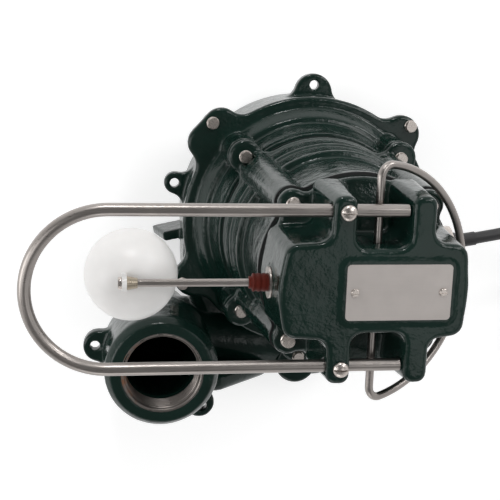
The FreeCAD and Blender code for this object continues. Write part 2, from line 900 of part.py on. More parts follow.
def cap_dome():
    """The lid's shallow dome, a slice of a large ball."""
    rim = lid_radius - dome_inset
    top = lid_top + dome_height
    low = lid_top - dome_sink
    curve = (rim ** 2 + dome_height ** 2) / (2 * dome_height)
    half_turn = math.asin(rim / curve) / 2
    halfway = Vector(curve * math.sin(half_turn), 0, top - curve + curve * math.cos(half_turn))
    arc = Part.Arc(Vector(rim, 0, lid_top), halfway, Vector(0, 0, top)).toShape()
    sides = Part.makePolygon([Vector(0, 0, top), Vector(0, 0, low), Vector(rim, 0, low),
                              Vector(rim, 0, lid_top)])
    face = Part.Face(Part.Wire([arc] + sides.Edges))
    return face.revolve(Vector(0, 0, 0), UP, 360)


def nameplate_outline(border, height):
    half_length = plate_length / 2 + border
    half_width = plate_width / 2 + border
    corner = plate_corner + border
    left, right = plate_x - half_length, plate_x + half_length
    return rounded_wire([(right, -half_width, corner), (right, half_width, corner),
                         (left, half_width, corner), (left, -half_width, corner)], height)


def nameplate_pad():
    """The low raised pad that the nameplate is screwed to."""
    pad = prism(nameplate_outline(pad_border, 0), cap_top - pad_height, plate_seat)
    return rounded_at(pad, pad_round, plate_seat)


def top_cap():
    lid = rounded_at(prism(lid_outline(), cap_low, lid_top), lid_round, lid_top)
    boss = rod(boss_radius, Vector(-chamber_left, 0, arm_z), Vector(-tower_left - boss_reach, 0, arm_z))
    body = fuse([lid, cap_dome(), cap_tower(), nameplate_pad(), boss])
    chamber = box(-chamber_left, chamber_right, -chamber_half_width, chamber_half_width, cap_low,
                  cap_top - chamber_roof)
    chamber = chamber.makeFillet(chamber_corner, upright_edges(chamber))
    recess = disc(bracket_recess - chamber_recess_inset, cap_low, cap_low + chamber_recess_depth)
    boss_face = -tower_left - boss_reach
    arm_hole = rod(arm_hole_radius, Vector(boss_face - 1, 0, arm_z), Vector(-chamber_left + 1, 0, arm_z))
    plate_face = rod(boot_plate_radius + running_gap, Vector(boss_face - boss_radius, 0, arm_z),
                     Vector(boss_face, 0, arm_z))
    boot_seat = rod(boot_flange_radius + loose, Vector(boss_face - 1, 0, arm_z),
                    Vector(boss_face + boot_flange_thickness + running_gap, 0, arm_z))
    pin_hole = rod(pivot_pin_radius + fit, Vector(arm_pivot_x, -pivot_pin_half_length - fit, arm_z),
                   Vector(arm_pivot_x, pivot_pin_half_length + fit, arm_z))
    rods = []
    for side in (-1, 1):
        y = side * guard_half_width
        rods.append(rod(guard_rod_radius + running_gap, Vector(ear_left_x - 2 * ear_half_width, y, guard_z),
                        Vector(ear_left_x + 2 * ear_half_width, y, guard_z)))
        rods.append(disc(guard_screw_radius + fit, guard_z, cap_top, guard_screw_x, y))
        leg_end = side * (pocket_wall_y - bail_leg_depth)
        rods.append(rod(bail_rod_radius + running_gap,
                        Vector(bail_pivot_x, leg_end - side * running_gap, bail_z),
                        Vector(bail_pivot_x, side * (pocket_wall_y + 2 * bail_leg_depth), bail_z)))
    plate_holes = [disc(plate_screw_radius + fit, cap_top - plate_screw_reach - 1, plate_seat, x, 0)
                   for x in plate_screw_places()]
    return cut(body, [chamber, recess, arm_hole, plate_face, boot_seat, pin_hole] + rods + plate_holes
               + bolt_holes(cap_bolt_places, cap_low, lid_top + 3) + bolt_head_rooms())


def bolt_head_rooms():
    """Flat seats sunk round the cap bolts, so that each head clears the dome and the tower."""
    return [disc(bolt_washer_radius + head_room, lid_top, lid_top + 2 * bolt_head_height, place.x, place.y)
            for place in cap_bolt_places]


# Bolts and screws

def volute_bolts():
    seat = cover_low + cover_flange_thickness
    return Part.Compound([hex_bolt(place.x, place.y, seat, seat - casing_top + bolt_grip - 1)
                          for place in volute_bolt_places])


def housing_bolts():
    seat = housing_low + housing_flange_thickness
    return Part.Compound([hex_bolt(place.x, place.y, seat, seat - housing_low + bolt_grip - 1)
                          for place in housing_bolt_places])


def cap_bolts():
    return Part.Compound([hex_bolt(place.x, place.y, lid_top, lid_top - housing_top + bolt_grip - 1)
                          for place in cap_bolt_places])


def guard_screws():
    tip = guard_z + guard_rod_radius + fit
    return Part.Compound([pan_screw(guard_screw_x, side * guard_half_width, cap_top, pan_head_radius,
                                    pan_head_height, guard_screw_radius, tip) for side in (-1, 1)])


def plate_screw_places():
    reach = plate_length / 2 - plate_screw_inset
    return (plate_x - reach, plate_x + reach)


def nameplate_screws():
    seat = plate_seat + plate_thickness
    tip = cap_top - plate_screw_reach
    return Part.Compound([pan_screw(x, 0, seat, plate_screw_head, plate_screw_height, plate_screw_radius, tip)
                          for x in plate_screw_places()])


def nameplate():
    sheet = prism(nameplate_outline(0, 0), plate_seat, plate_seat + plate_thickness)
    return cut(sheet, [disc(plate_screw_radius + fit, plate_seat, plate_seat + plate_thickness, x, 0)
                       for x in plate_screw_places()])


# Guard loop and carrying bail

def guard_loop():
    near = Vector(guard_end_x, -guard_half_width, guard_z)
    near_bend = Vector(guard_bend_x, -guard_half_width, guard_z)
    tip = Vector(guard_bend_x - guard_half_width, 0, guard_z)
    far_bend = Vector(guard_bend_x, guard_half_width, guard_z)
    far = Vector(guard_end_x, guard_half_width, guard_z)
    path = Part.Wire([
        Part.LineSegment(near, near_bend).toShape(),
        Part.Arc(near_bend, tip, far_bend).toShape(),
        Part.LineSegment(far_bend, far).toShape(),
    ])
    return tube_on(path, guard_rod_radius, Vector(-1, 0, 0))


def carrying_bail():
    tilt = math.radians(bail_rest_angle)
    leg_end = pocket_wall_y - bail_leg_depth

    def place(out, y):
        return Vector(bail_pivot_x + out * math.cos(tilt), y, bail_z - out * math.sin(tilt))

    corner_y = math.sqrt((bail_radius - bail_corner) ** 2 - bail_corner ** 2)
    lean = math.atan2(bail_corner, corner_y)
    join_out = bail_radius * math.sin(lean)
    join_y = bail_radius * math.cos(lean)
    turn = (math.pi / 2 + lean) / 2
    crown_out = bail_corner * (1 - math.cos(turn))
    crown_y = corner_y + bail_corner * math.sin(turn)
    path = Part.Wire([
        Part.LineSegment(place(0, leg_end), place(0, corner_y)).toShape(),
        Part.Arc(place(0, corner_y), place(crown_out, crown_y), place(join_out, join_y)).toShape(),
        Part.Arc(place(join_out, join_y), place(bail_radius, 0), place(join_out, -join_y)).toShape(),
        Part.Arc(place(join_out, -join_y), place(crown_out, -crown_y), place(0, -corner_y)).toShape(),
        Part.LineSegment(place(0, -corner_y), place(0, -leg_end)).toShape(),
    ])
    return tube_on(path, bail_rod_radius, ALONG_Y)


# Float

def float_arm():
    main = rod(arm_radius, Vector(arm_end_x, 0, arm_z), Vector(arm_pivot_x + arm_lever_length, 0, arm_z))
    eye = rod(arm_eye_radius, Vector(arm_pivot_x, -arm_eye_half_width, arm_z),
              Vector(arm_pivot_x, arm_eye_half_width, arm_z))
    bore = rod(pivot_pin_radius + fit, Vector(arm_pivot_x, -arm_eye_radius, arm_z),
               Vector(arm_pivot_x, arm_eye_radius, arm_z))
    return fuse([main, eye]).cut(bore)


def arm_end_nut():
    start = Vector(arm_end_x, 0, arm_z)
    end = Vector(arm_end_x + end_nut_thickness, 0, arm_z)
    return rod(end_nut_radius, start, end).cut(rod(arm_radius + fit, start, end))


def fin_low_x():
    return arm_end_x + end_nut_thickness + fit


def float_ball():
    ball_z = arm_z - ball_below_arm
    ball = Part.makeSphere(ball_radius, Vector(ball_x, 0, ball_z))
    low_x = fin_low_x()
    high_x = low_x + ball_fin_thickness
    fin = box(low_x, high_x, -ball_fin_half_width, ball_fin_half_width, ball_z, arm_z)
    crown = rod(ball_fin_half_width, Vector(low_x, 0, arm_z), Vector(high_x, 0, arm_z))
    hole = rod(arm_radius + fit, Vector(low_x - 1, 0, arm_z), Vector(high_x + 1, 0, arm_z))
    hollow = Part.makeSphere(ball_radius - ball_wall, Vector(ball_x, 0, ball_z))
    return cut(fuse([ball, fin, crown]), [hole, hollow])


def arm_collar():
    start = Vector(fin_low_x() + ball_fin_thickness + fit, 0, arm_z)
    end = start + ALONG_X * collar_length
    flare = Part.makeCone(collar_big_radius, collar_small_radius, collar_length, start, ALONG_X)
    return flare.cut(rod(arm_radius + fit, start, end))


def arm_boot():
    """The rubber sleeve that seals the arm where it enters the cap."""
    face = -tower_left - boss_reach
    flange_end = face + boot_flange_thickness
    nose_start = face - boot_plate_thickness - boot_length + boot_nose_length
    nose_end = face - boot_plate_thickness - boot_length
    bore = arm_radius + running_gap
    profile = [
        (bore, flange_end),
        (boot_flange_radius, flange_end),
        (boot_flange_radius, face + running_gap),
        (boot_radius, face + running_gap),
        (boot_radius, nose_start + boot_shoulder),
        (boot_radius - 0.9 * boot_shoulder, nose_start),
        (boot_nose_radius, nose_start),
        (boot_nose_radius - boot_nose_round, nose_end),
        (bore, nose_end),
    ]
    return turned(profile, Vector(0, 0, arm_z), ALONG_X)


def boot_plate():
    face = -tower_left - boss_reach
    start = Vector(face - boot_plate_thickness, 0, arm_z)
    end = Vector(face, 0, arm_z)
    return rod(boot_plate_radius, start, end).cut(rod(boot_radius + running_gap, start, end))


def arm_pivot_pin():
    return rod(pivot_pin_radius, Vector(arm_pivot_x, -pivot_pin_half_length, arm_z),
               Vector(arm_pivot_x, pivot_pin_half_length, arm_z))


# Switch

def plunger_x():
    return arm_pivot_x + plunger_reach


def plunger_top():
    return arm_z - arm_radius - running_gap


def switch_body():
    low = cap_low + switch_floor
    body = box(-chamber_left + loose, -chamber_left + loose + switch_length, -chamber_half_width + loose,
               chamber_half_width - loose, low, low + switch_height)
    body = body.makeFillet(switch_corner, upright_edges(body))
    body = rounded_at(body, switch_round, low + switch_height)
    return body.cut(disc(plunger_radius + fit, low + plunger_bore_floor, low + switch_height, plunger_x(), 0))


def switch_plunger():
    top = plunger_top()
    stem = disc(plunger_radius, top - plunger_length, top - plunger_radius, plunger_x(), 0)
    crown = Part.makeSphere(plunger_radius, Vector(plunger_x(), 0, top - plunger_radius))
    return fuse([stem, crown])


# Motor

def bearing(inner_radius, outer_radius, width, low):
    """An outer race, and an inner race with its balls."""
    depth = outer_radius - inner_radius
    inner_race_radius = inner_radius + race_share * depth
    outer_race_radius = outer_radius - race_share * depth
    outer = disc(outer_radius, low, low + width).cut(disc(outer_race_radius, low, low + width))
    inner = disc(inner_race_radius, low, low + width).cut(disc(inner_radius + fit, low, low + width))
    middle = (inner_race_radius + outer_race_radius) / 2
    ball = (outer_race_radius - inner_race_radius) / 2 - fit
    balls = [Part.makeSphere(ball, polar(middle, 360.0 * step / ball_count, low + width / 2))
             for step in range(ball_count)]
    return outer, Part.Compound([inner] + balls)


def lower_bearing_low():
    return housing_low + housing_floor + bearing_seat_rise


def bracket_low():
    return housing_top - bracket_recess_depth


def upper_bearing_low():
    return bracket_low() + bracket_thickness - upper_bearing_width - 1.0


def motor_shaft():
    seat = lower_bearing_low()
    shoulder = seat + lower_bearing_width
    core_end = core_high + end_ring_height + 2
    impeller_top = impeller_low + impeller_height
    tip = impeller_low - impeller_nut_height - 2
    return turned([(0, tip), (shaft_tip_radius, tip), (shaft_tip_radius, impeller_low),
                   (impeller_shaft_radius, impeller_low), (impeller_shaft_radius, impeller_top),
                   (shaft_radius, impeller_top), (shaft_radius, seat), (lower_bearing_bore, seat),
                   (lower_bearing_bore, shoulder), (core_bore, shoulder), (core_bore, core_end),
                   (upper_bearing_bore, core_end), (upper_bearing_bore, shaft_top), (0, shaft_top)])


def rotor_core():
    return disc(rotor_radius, core_low, core_high).cut(
        disc(core_bore + fit, core_low, core_high))


def rotor_end_rings():
    rings = []
    for low in (core_low - end_ring_height, core_high):
        high = low + end_ring_height
        rings.append(disc(rotor_radius - 1, low, high).cut(disc(end_ring_inner, low, high)))
    return Part.Compound(rings)


def stator_core():
    return disc(motor_bore - fit, core_low, core_high).cut(disc(rotor_radius + air_gap, core_low, core_high))


def stator_windings():
    rings = []
    for low in (core_low - winding_height, core_high):
        high = low + winding_height
        ring = disc(winding_outer, low, high).cut(disc(winding_inner, low, high))
        free_end = low if low < core_low else high
        rings.append(rounded_at(ring, winding_round, free_end))
    return Part.Compound(rings)


def thermal_protector():
    half_width = protector_width / 2
    half_length = protector_length / 2
    low = core_high + winding_height
    return box(-protector_reach - half_width, -protector_reach + half_width, -half_length, half_length, low,
               low + protector_height)


def upper_bracket():
    low = bracket_low()
    high = low + bracket_thickness
    plate = disc(bracket_recess - fit, low, high)
    hub = disc(bracket_hub_radius, high - bracket_hub_height, high)
    seat = upper_bearing_low()
    rooms = [disc(upper_bearing_outer + fit, seat, high), disc(upper_bearing_bore + 2, seat - 5, seat)]
    wire_hole = cord_point(wire_reach, 0)
    rooms.append(disc(wire_pitch + 2 * wire_radius, low, high, wire_hole.x, wire_hole.y))
    return cut(fuse([plate, hub]), rooms)


def snap_ring():
    low = bracket_low() + bracket_thickness
    high = low + snap_ring_thickness
    outer = bracket_recess + snap_groove_depth - running_gap
    ring = disc(outer, low, high).cut(disc(outer - snap_ring_width, low, high))
    half_opening = snap_ring_opening / 2
    reach = 2 * outer
    wedge = Part.makePolygon([Vector(0, 0, low), polar(reach, 180 - half_opening, low),
                              polar(reach, 180 + half_opening, low), Vector(0, 0, low)])
    return ring.cut(Part.Face(wedge).extrude(Vector(0, 0, snap_ring_thickness)))


# Impeller and seal

def impeller():
    high = impeller_low + impeller_height
    hub = disc(impeller_hub_radius, impeller_low, high)
    shroud = disc(impeller_radius, high - shroud_thickness, high)
    vanes = []
    for step in range(vane_count):
        vane = box(4, impeller_radius, vane_offset - vane_thickness, vane_offset, impeller_low, high - 1)
        vane.rotate(Vector(0, 0, 0), UP, 360.0 * step / vane_count)
        vanes.append(vane)
    blades = fuse(vanes).common(disc(impeller_radius - 1, impeller_low, high))
    return cut(fuse([hub, shroud, blades]), [disc(impeller_shaft_radius + fit, impeller_low, high)])


def impeller_nut():
    high = impeller_low
    low = high - impeller_nut_height
    return hex_prism(impeller_nut_across, low, high).cut(disc(shaft_tip_radius + fit, low, high))


def seal_seat():
    low = cover_low + seal_pocket_floor
    high = low + seal_seat_height
    return disc(seal_pocket_radius - fit, low, high).cut(disc(shaft_radius + 1, low, high))


def seal_head():
    low = cover_low + seal_pocket_floor + seal_seat_height + fit
    high = low + seal_head_height
    return disc(seal_head_radius, low, high).cut(disc(shaft_radius + fit, low, high))


def seal_bellows():
    low = cover_low + seal_pocket_floor + seal_seat_height + seal_head_height + 2 * fit
    high = low + bellows_height
    return disc(bellows_radius, low, high).cut(disc(shaft_radius + fit, low, high))


# Cord

def gland_nut():
    direction = gland_direction()
    nut = hex_prism(gland_nut_across, 0, gland_nut_length)
    nut = nut.common(cone(gland_nut_across * 0.6, gland_nut_across * 0.52, 0, gland_nut_length))
    nut = nut.cut(disc(gland_bore, 0, gland_nut_length))
    nut.Placement = FreeCAD.Placement(cord_point(gland_boss_reach), FreeCAD.Rotation(UP, direction))
    return nut


def strain_relief():
    straight = gland_boss_reach + gland_nut_length - relief_inner_reach
    relief = turned([(0, 0), (relief_radius, 0), (relief_radius, straight),
                     (relief_radius - relief_shoulder_inset, straight + relief_shoulder),
                     (relief_end_radius, straight + relief_neck),
                     (relief_end_radius, relief_length), (0, relief_length)])
    turn = FreeCAD.Rotation(UP, gland_direction())
    relief.Placement = FreeCAD.Placement(cord_point(relief_inner_reach), turn)
    return relief


def lead_wires():
    """Three wires from the strain relief up through the bracket to the switch."""
    wires = []
    sideways = polar(1.0, cord_angle + 90)
    switch_end = -chamber_left + loose + switch_length + running_gap
    low = cap_low + chamber_recess_depth / 2
    high = cap_low + switch_floor + switch_height / 2
    for step in (-1, 0, 1):
        shift = sideways * (step * wire_pitch)
        start = cord_point(relief_inner_reach) + shift
        rise = cord_point(wire_reach) + shift
        points = [start, rise, Vector(rise.x, rise.y, low),
                  Vector(chamber_right - wire_bend_inset, shift.y, low),
                  Vector(switch_end + wire_last_run, shift.y, high - wire_last_drop),
                  Vector(switch_end, step * wire_pitch, high)]
        wires.append(tube_on(route_path(points), wire_radius, rise.sub(start)))
    return Part.Compound(wires)


coil_turns = 2 * turns_per_layer + climb_turns
coil_outer_radius = coil_inner_radius + turns_per_layer * turn_pitch
coil_start_angle = 180.0


def coil_radius(turn):
    """Distance from the coil's centre after some turns: in, a soft reverse while it climbs, and out again."""
    steady = turns_per_layer
    if turn <= steady:
        return coil_outer_radius - turn_pitch * turn
    if turn >= steady + climb_turns:
        return coil_inner_radius + turn_pitch * (turn - steady - climb_turns)
    part = turn - steady
    return coil_inner_radius - turn_pitch * part + turn_pitch * part ** 2 / climb_turns


def coil_rise(turn):
    part = min(max((turn - turns_per_layer) / climb_turns, 0.0), 1.0)
    return layer_pitch * part ** 2 * (3 - 2 * part)


def coil_point(turn):
    flat = polar(coil_radius(turn), coil_start_angle + 360.0 * turn)
    return Vector(coil_x + flat.x, coil_y + flat.y, cord_radius + coil_rise(turn))


def coil_heading(turn):
    step = 0.0005
    before = max(turn - step, 0.0)
    after = min(turn + step, coil_turns)
    return coil_point(after).sub(coil_point(before)).normalize()


def biarc(start, start_heading, end, end_heading):
    """Two arcs that join two points with the given headings."""
    chord = end.sub(start)
    both = start_heading + end_heading
    slope = 2 * (1 - start_heading.dot(end_heading))
    along = chord.dot(both)
    reach = (-along + math.sqrt(along ** 2 + slope * chord.dot(chord))) / slope
    first_corner = start + start_heading * reach
    last_corner = end - end_heading * reach
    middle = (first_corner + last_corner) * 0.5
    arcs = []
    for low, corner, high in ((start, first_corner, middle), (middle, last_corner, end)):
        half_chord = (low + high) * 0.5
        to_corner = corner.sub(half_chord)
        half_length = high.sub(low).Length / 2
        half_angle = math.atan2(to_corner.Length, half_length)
        crown = half_chord + to_corner.normalize() * (half_length * math.tan(half_angle / 2))
        arcs.append(Part.Arc(low, crown, high).toShape())
    return arcs


def coil_end_point():
    return coil_point(coil_turns) + coil_heading(coil_turns) * coil_straight


def cord_coil():
    quarters = round(coil_turns * 4)
    start = coil_point(0.0)
    heading = coil_heading(0.0)
    pieces = [Part.LineSegment(start - heading * coil_straight, start).toShape()]
    for quarter in range(quarters):
        low = coil_turns * quarter / quarters
        high = coil_turns * (quarter + 1) / quarters
        pieces += biarc(coil_point(low), coil_heading(low), coil_point(high), coil_heading(high))
    pieces.append(Part.LineSegment(coil_point(coil_turns), coil_end_point()).toShape())
    return tube_on(Part.Wire(pieces), cord_radius, heading)


def coil_least_gap():
    """The least clear distance between two stretches of the coil, measured on points."""
    count = 900
    spots = [coil_point(coil_turns * step / count) for step in range(count + 1)]
    apart = round(0.7 * count / coil_turns)
    least = min(spots[low].distanceToPoint(spots[high]) for low in range(0, count, 2)
                for high in range(low + apart, count + 1))
    return least - 2 * cord_radius


def lead_points():
    """The stretch of cord from the strain relief down to the floor and into the coil."""
    start = coil_point(0.0) - coil_heading(0.0) * coil_straight
    return [cord_point(relief_end_reach), Vector(139, 22, 218), Vector(181, 27, 190), Vector(207, 18, 142),
            Vector(219, -4, 93), Vector(224, -31, 48), Vector(225.5, -64, cord_radius + 6), start]


def cord_lead():
    points = lead_points()
    path = route_path(points, "cord lead")
    solid = tube_on(path, cord_radius, gland_direction())
    expected = math.pi * cord_radius ** 2 * path.Length
    share = solid.Volume / expected
    print(f"cord lead length {path.Length:.0f}, volume against section times length {share:.4f}")
    return solid


# Plug

def along_plug(solid):
    """Lays a solid that was made along +Z at the end of the cord, along the cord's heading."""
    heading = coil_heading(coil_turns)
    heading = Vector(heading.x, heading.y, 0).normalize()
    spot = coil_end_point()
    across = UP.cross(heading)
    matrix = FreeCAD.Matrix(across.x, UP.x, heading.x, spot.x, across.y, UP.y, heading.y, spot.y,
                            across.z, UP.z, heading.z, spot.z, 0, 0, 0, 1)
    return solid.transformGeometry(matrix)


def plug_body():
    low_y = -coil_end_point().z
    block = box(-plug_width / 2, plug_width / 2, low_y, low_y + plug_height, plug_relief_length,
                plug_relief_length + plug_length)
    block = block.makeFillet(plug_round, upright_edges(block))
    block = rounded_at(block, plug_end_round, plug_relief_length)
    relief = cone(cord_radius + 0.4, plug_relief_radius, 0, plug_relief_length + 3)
    return along_plug(fuse([block, relief]))


def plug_blades():
    low = plug_relief_length + plug_length
    pieces = []
    for side in (-1, 1):
        x = side * blade_spacing / 2
        pieces.append(box(x - blade_thickness / 2, x + blade_thickness / 2, blade_rise - blade_width / 2,
                          blade_rise + blade_width / 2, low, low + blade_length))
    pieces.append(disc(ground_pin_radius, low, low + blade_length + pin_extra, 0, -ground_pin_drop / 2))
    return Part.Compound([along_plug(piece) for piece in pieces])


def floor_centre(nodes):
    """The shift that puts the origin under the middle of the pump, its cord left out."""
    bounds = FreeCAD.BoundBox()
    for name, shape in nodes.items():
        if name not in cord_names:
            bounds.add(shape.optimalBoundingBox(False, False))
    return Vector(-bounds.Center.x, -bounds.Center.y, -bounds.ZMin)


def main():
    os.makedirs("parts", exist_ok=True)
    lower_outer, lower_inner = bearing(lower_bearing_bore, lower_bearing_outer, lower_bearing_width,
                                       lower_bearing_low())
    upper_outer, upper_inner = bearing(upper_bearing_bore, upper_bearing_outer, upper_bearing_width,
                                       upper_bearing_low())
    nodes = {
        "volute_casing": volute_casing(),
        "volute_gasket": volute_gasket(),
        "cover_plate": cover_plate(),
        "housing_o_ring": housing_ring(),
        "motor_housing": motor_housing(),
        "cap_gasket": cap_gasket(),
        "top_cap": top_cap(),
        "volute_bolts": volute_bolts(),
        "housing_bolts": housing_bolts(),
        "cap_bolts": cap_bolts(),
        "guard_loop": guard_loop(),
        "guard_screws": guard_screws(),
        "carrying_bail": carrying_bail(),
        "nameplate": nameplate(),
        "nameplate_screws": nameplate_screws(),
        "float_arm": float_arm(),
        "arm_end_nut": arm_end_nut(),
        "float_ball": float_ball(),
        "arm_collar": arm_collar(),
        "arm_boot": arm_boot(),
        "boot_plate": boot_plate(),
        "arm_pivot_pin": arm_pivot_pin(),
        "switch_body": switch_body(),
        "switch_plunger": switch_plunger(),
        "motor_shaft": motor_shaft(),
        "rotor_core": rotor_core(),
        "rotor_end_rings": rotor_end_rings(),
        "stator_core": stator_core(),
        "stator_windings": stator_windings(),
        "thermal_protector": thermal_protector(),
        "lower_bearing_outer": lower_outer,
        "lower_bearing_inner": lower_inner,
        "upper_bearing_outer": upper_outer,
        "upper_bearing_inner": upper_inner,
        "upper_bracket": upper_bracket(),
        "bracket_snap_ring": snap_ring(),
        "impeller": impeller(),
        "impeller_nut": impeller_nut(),
        "seal_seat": seal_seat(),
        "seal_head": seal_head(),
        "seal_bellows": seal_bellows(),
        "gland_nut": gland_nut(),
        "strain_relief": strain_relief(),
        "lead_wires": lead_wires(),
        "cord_lead": cord_lead(),
        "cord_coil": cord_coil(),
        "plug_body": plug_body(),
        "plug_blades": plug_blades(),
    }
    print(f"coil least gap {coil_least_gap():.2f}")
    shift = floor_centre(nodes)
    print(f"shift {shift.x:.3f} {shift.y:.3f} {shift.z:.3f}")
    for name, shape in nodes.items():
        shape.translate(shift)
        solids = shape.Solids
        valid = shape.isValid() and all(solid.Volume > 0 for solid in solids)
        if not valid:
            print("not valid:", name)
        print(f"{name}: {len(solids)} solids, {sum(solid.Volume for solid in solids) / 1000:.2f} cm3")
        shape.exportStep(f"parts/{name}.step")


main()
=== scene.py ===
"""Looks of a submersible sump pump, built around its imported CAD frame.

Lengths are in metres, except where a comment says millimetres.
"""

import math

import bpy
from mathutils import Matrix, Vector


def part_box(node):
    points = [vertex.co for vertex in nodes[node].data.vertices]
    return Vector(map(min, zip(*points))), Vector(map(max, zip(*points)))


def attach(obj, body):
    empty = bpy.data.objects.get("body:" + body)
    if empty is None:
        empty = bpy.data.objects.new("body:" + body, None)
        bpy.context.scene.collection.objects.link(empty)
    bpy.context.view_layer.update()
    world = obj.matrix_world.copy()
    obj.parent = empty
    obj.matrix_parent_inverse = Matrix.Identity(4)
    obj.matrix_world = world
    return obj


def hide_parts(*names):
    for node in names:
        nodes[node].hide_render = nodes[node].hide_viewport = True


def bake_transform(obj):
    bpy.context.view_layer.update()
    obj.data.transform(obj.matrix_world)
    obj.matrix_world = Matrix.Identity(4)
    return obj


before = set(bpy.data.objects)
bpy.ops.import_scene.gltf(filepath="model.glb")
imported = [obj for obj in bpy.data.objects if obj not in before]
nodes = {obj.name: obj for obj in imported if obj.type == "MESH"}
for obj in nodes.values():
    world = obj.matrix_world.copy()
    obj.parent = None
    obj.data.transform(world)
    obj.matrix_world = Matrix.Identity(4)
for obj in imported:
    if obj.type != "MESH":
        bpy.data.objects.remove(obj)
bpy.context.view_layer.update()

millimetre = 0.001

# Places read from the frame
shaft_low, shaft_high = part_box("motor_shaft")
axis = Vector(((shaft_low.x + shaft_high.x) / 2, (shaft_low.y + shaft_high.y) / 2, 0))
collar_low, collar_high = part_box("arm_collar")
boot_low, boot_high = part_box("arm_boot")
ball_low, ball_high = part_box("float_ball")

# Camera, fitted to the photograph from the pump's own sizes
picture_pixels = 500
focal_pixels = 1060.02
sensor_width_mm = 36.0
view_x = 0.151
view_y = -0.221
camera_roll = 0.033
camera_offset = Vector((-0.175046, 0.165799, 0.914740))
camera_clip_start = 0.05
camera_clip_end = 50.0

# Floor, and the pale wall and dim ceiling that the world shows; a level of 1 is white
floor_size = 24.0
floor_colour = (0.80, 0.80, 0.80)
floor_roughness = 0.9
floor_glow = 0.48
wall_level = 0.82
ceiling_level = 0.18
ceiling_heart = (-0.14, 0.0, 0.99)
ceiling_start = 0.47
ceiling_end = 0.67

# Lamps: name, direction round the shaft and height over the floor in degrees, size, power in watts
lamps = (
    ("back", 97, 26, 0.22, 4.2),
    ("back_right_low", 45, 22, 0.4, 3.6),
    ("back_right_high", 45, 52, 0.5, 2.8),
    ("left_low", 180, 22, 0.8, 4.8),
    ("left_high", 180, 52, 0.8, 2.8),
    ("right_high", -26, 68, 0.7, 1.2),
    ("front_low", -100, 26, 0.6, 1.4),
)
lamp_distance = 1.5
lamp_target = Vector((0, 0, 0.15))

# Power cord, from the strain relief over the points of the CAD lead, in millimetres from the shaft
cord_radius = 4.2 * millimetre
cord_angle = 9.0
cord_height = 0.220
relief_reach = 0.094
lead_route = (
    (139, 22, 218),
    (181, 27, 190),
    (207, 18, 142),
    (219, -4, 93),
    (224, -31, 48),
    (225.5, -64, 10.2),
)
# The coil on the floor, in millimetres, turns and degrees
coil_centre_x = 291.0
coil_centre_y = -112.0
coil_inner_radius = 35.0
turn_pitch = 9.1
turns_per_layer = 3.5
climb_turns = 0.5
coil_start_angle = 180.0
coil_straight = 8.4
points_per_turn = 16
heading_step = 0.0005
# How finely the cord's curve is drawn
cord_bevel_steps = 5
cord_steps = 6
cord_order = 3

# Discharge mouth and its pipe thread
hub_offset = Vector((-0.1205, -0.1000, 0))
hub_top = 0.166
thread_root = 28.5 * millimetre
thread_crest = 27.1 * millimetre
inch_in_millimetres = 25.4
threads_per_inch = 11.5
thread_pitch = inch_in_millimetres / threads_per_inch * millimetre
thread_depth = 24.0 * millimetre
thread_slope = 1.4
thread_sides = 96
rows_per_pitch = 8
mouth_radius = 30.65 * millimetre
mouth_chamfer = 2.1 * millimetre
mouth_drop = 0.02 * millimetre
mouth_lip = 0.2 * millimetre
mouth_lip_drop = 0.3 * millimetre
sleeve_wall = 0.06 * millimetre

# Rubber boot round the float arm: body, two soft rings, shoulder, neck and tip
boot_body_radius = 5.85 * millimetre
boot_nose_radius = 3.9 * millimetre
boot_bore_radius = 2.45 * millimetre
boot_plate_gap = 0.05 * millimetre
boot_ring_depth = 0.35 * millimetre
boot_ring_waves = 3
boot_body_steps = 22
boot_nose_length = 2.6 * millimetre
shoulder_length = 0.25 * millimetre
shoulder_drop = 0.5 * millimetre
neck_start = 0.45 * millimetre
neck_flare = 0.3 * millimetre
neck_end = 0.8 * millimetre
tip_length = 0.4 * millimetre
tip_round = 0.1 * millimetre
tip_round_drop = 0.15 * millimetre
tip_drop = 0.5 * millimetre
boot_sides = 48

# Float ball: its tilt on the arm in degrees, and its moulding line
ball_tilt = 5.0
seam_bead = 0.22 * millimetre
seam_steps = 96
seam_corners = 6

# Domed tops of the guard screws
dome_radius = 5.05 * millimetre
dome_foot = 1.5 * millimetre
dome_rise = 2.7 * millimetre
dome_slot = 1.15 * millimetre
dome_slot_depth = 2.25 * millimetre
dome_slot_reach = 1.2 * dome_radius
dome_sides = 40
dome_rings = 8

# A round boss low on the casing, in millimetres from the shaft
boss_centre_x = -3.0
boss_centre_y = -121.8
boss_radius = 17.2
boss_foot = 60.0
boss_top = 86.0
boss_sides = 72

# The rib between the discharge hub and the casing: its side view in x and z, in millimetres from the shaft
rib_front = -134.0
rib_back = -119.0
rib_outline = ((-84, 58), (-26, 58), (-26, 82), (-70, 119), (-84, 119))

# Rounding of these two forms, and the angle from which an edge counts as sharp
boss_round = 3.0 * millimetre
rib_round = 6.5 * millimetre
round_steps = 4
sharp_angle = math.radians(35)

# Castings: how coarse, how soft and how uneven their skins are
castings = ("volute_casing", "cover_plate", "motor_housing", "top_cap")
cast_voxel = 1.0 * millimetre
cast_smoothing = 0.5
cast_rounding = 5
cast_wander = 0.16 * millimetre
cast_wander_size = 7.0 * millimetre
cast_wander_depth = 2
cast_keep = 0.30


def millimetres(x, y, z):
    """A point of the pump's own axes, in millimetres, as a point of the frame."""
    return axis + Vector((x, y, z)) * millimetre


def polar(radius, degrees):
    angle = math.radians(degrees)
    return radius * math.cos(angle), radius * math.sin(angle)


def circle(radius, sides):
    """The corners of a regular outline round the origin."""
    return [polar(radius, 360 * side / sides) for side in range(sides)]


def linked(name, data):
    """A new object of the scene that shows data."""
    made = bpy.data.objects.new(name, data)
    bpy.context.scene.collection.objects.link(made)
    return made


# Camera and stage

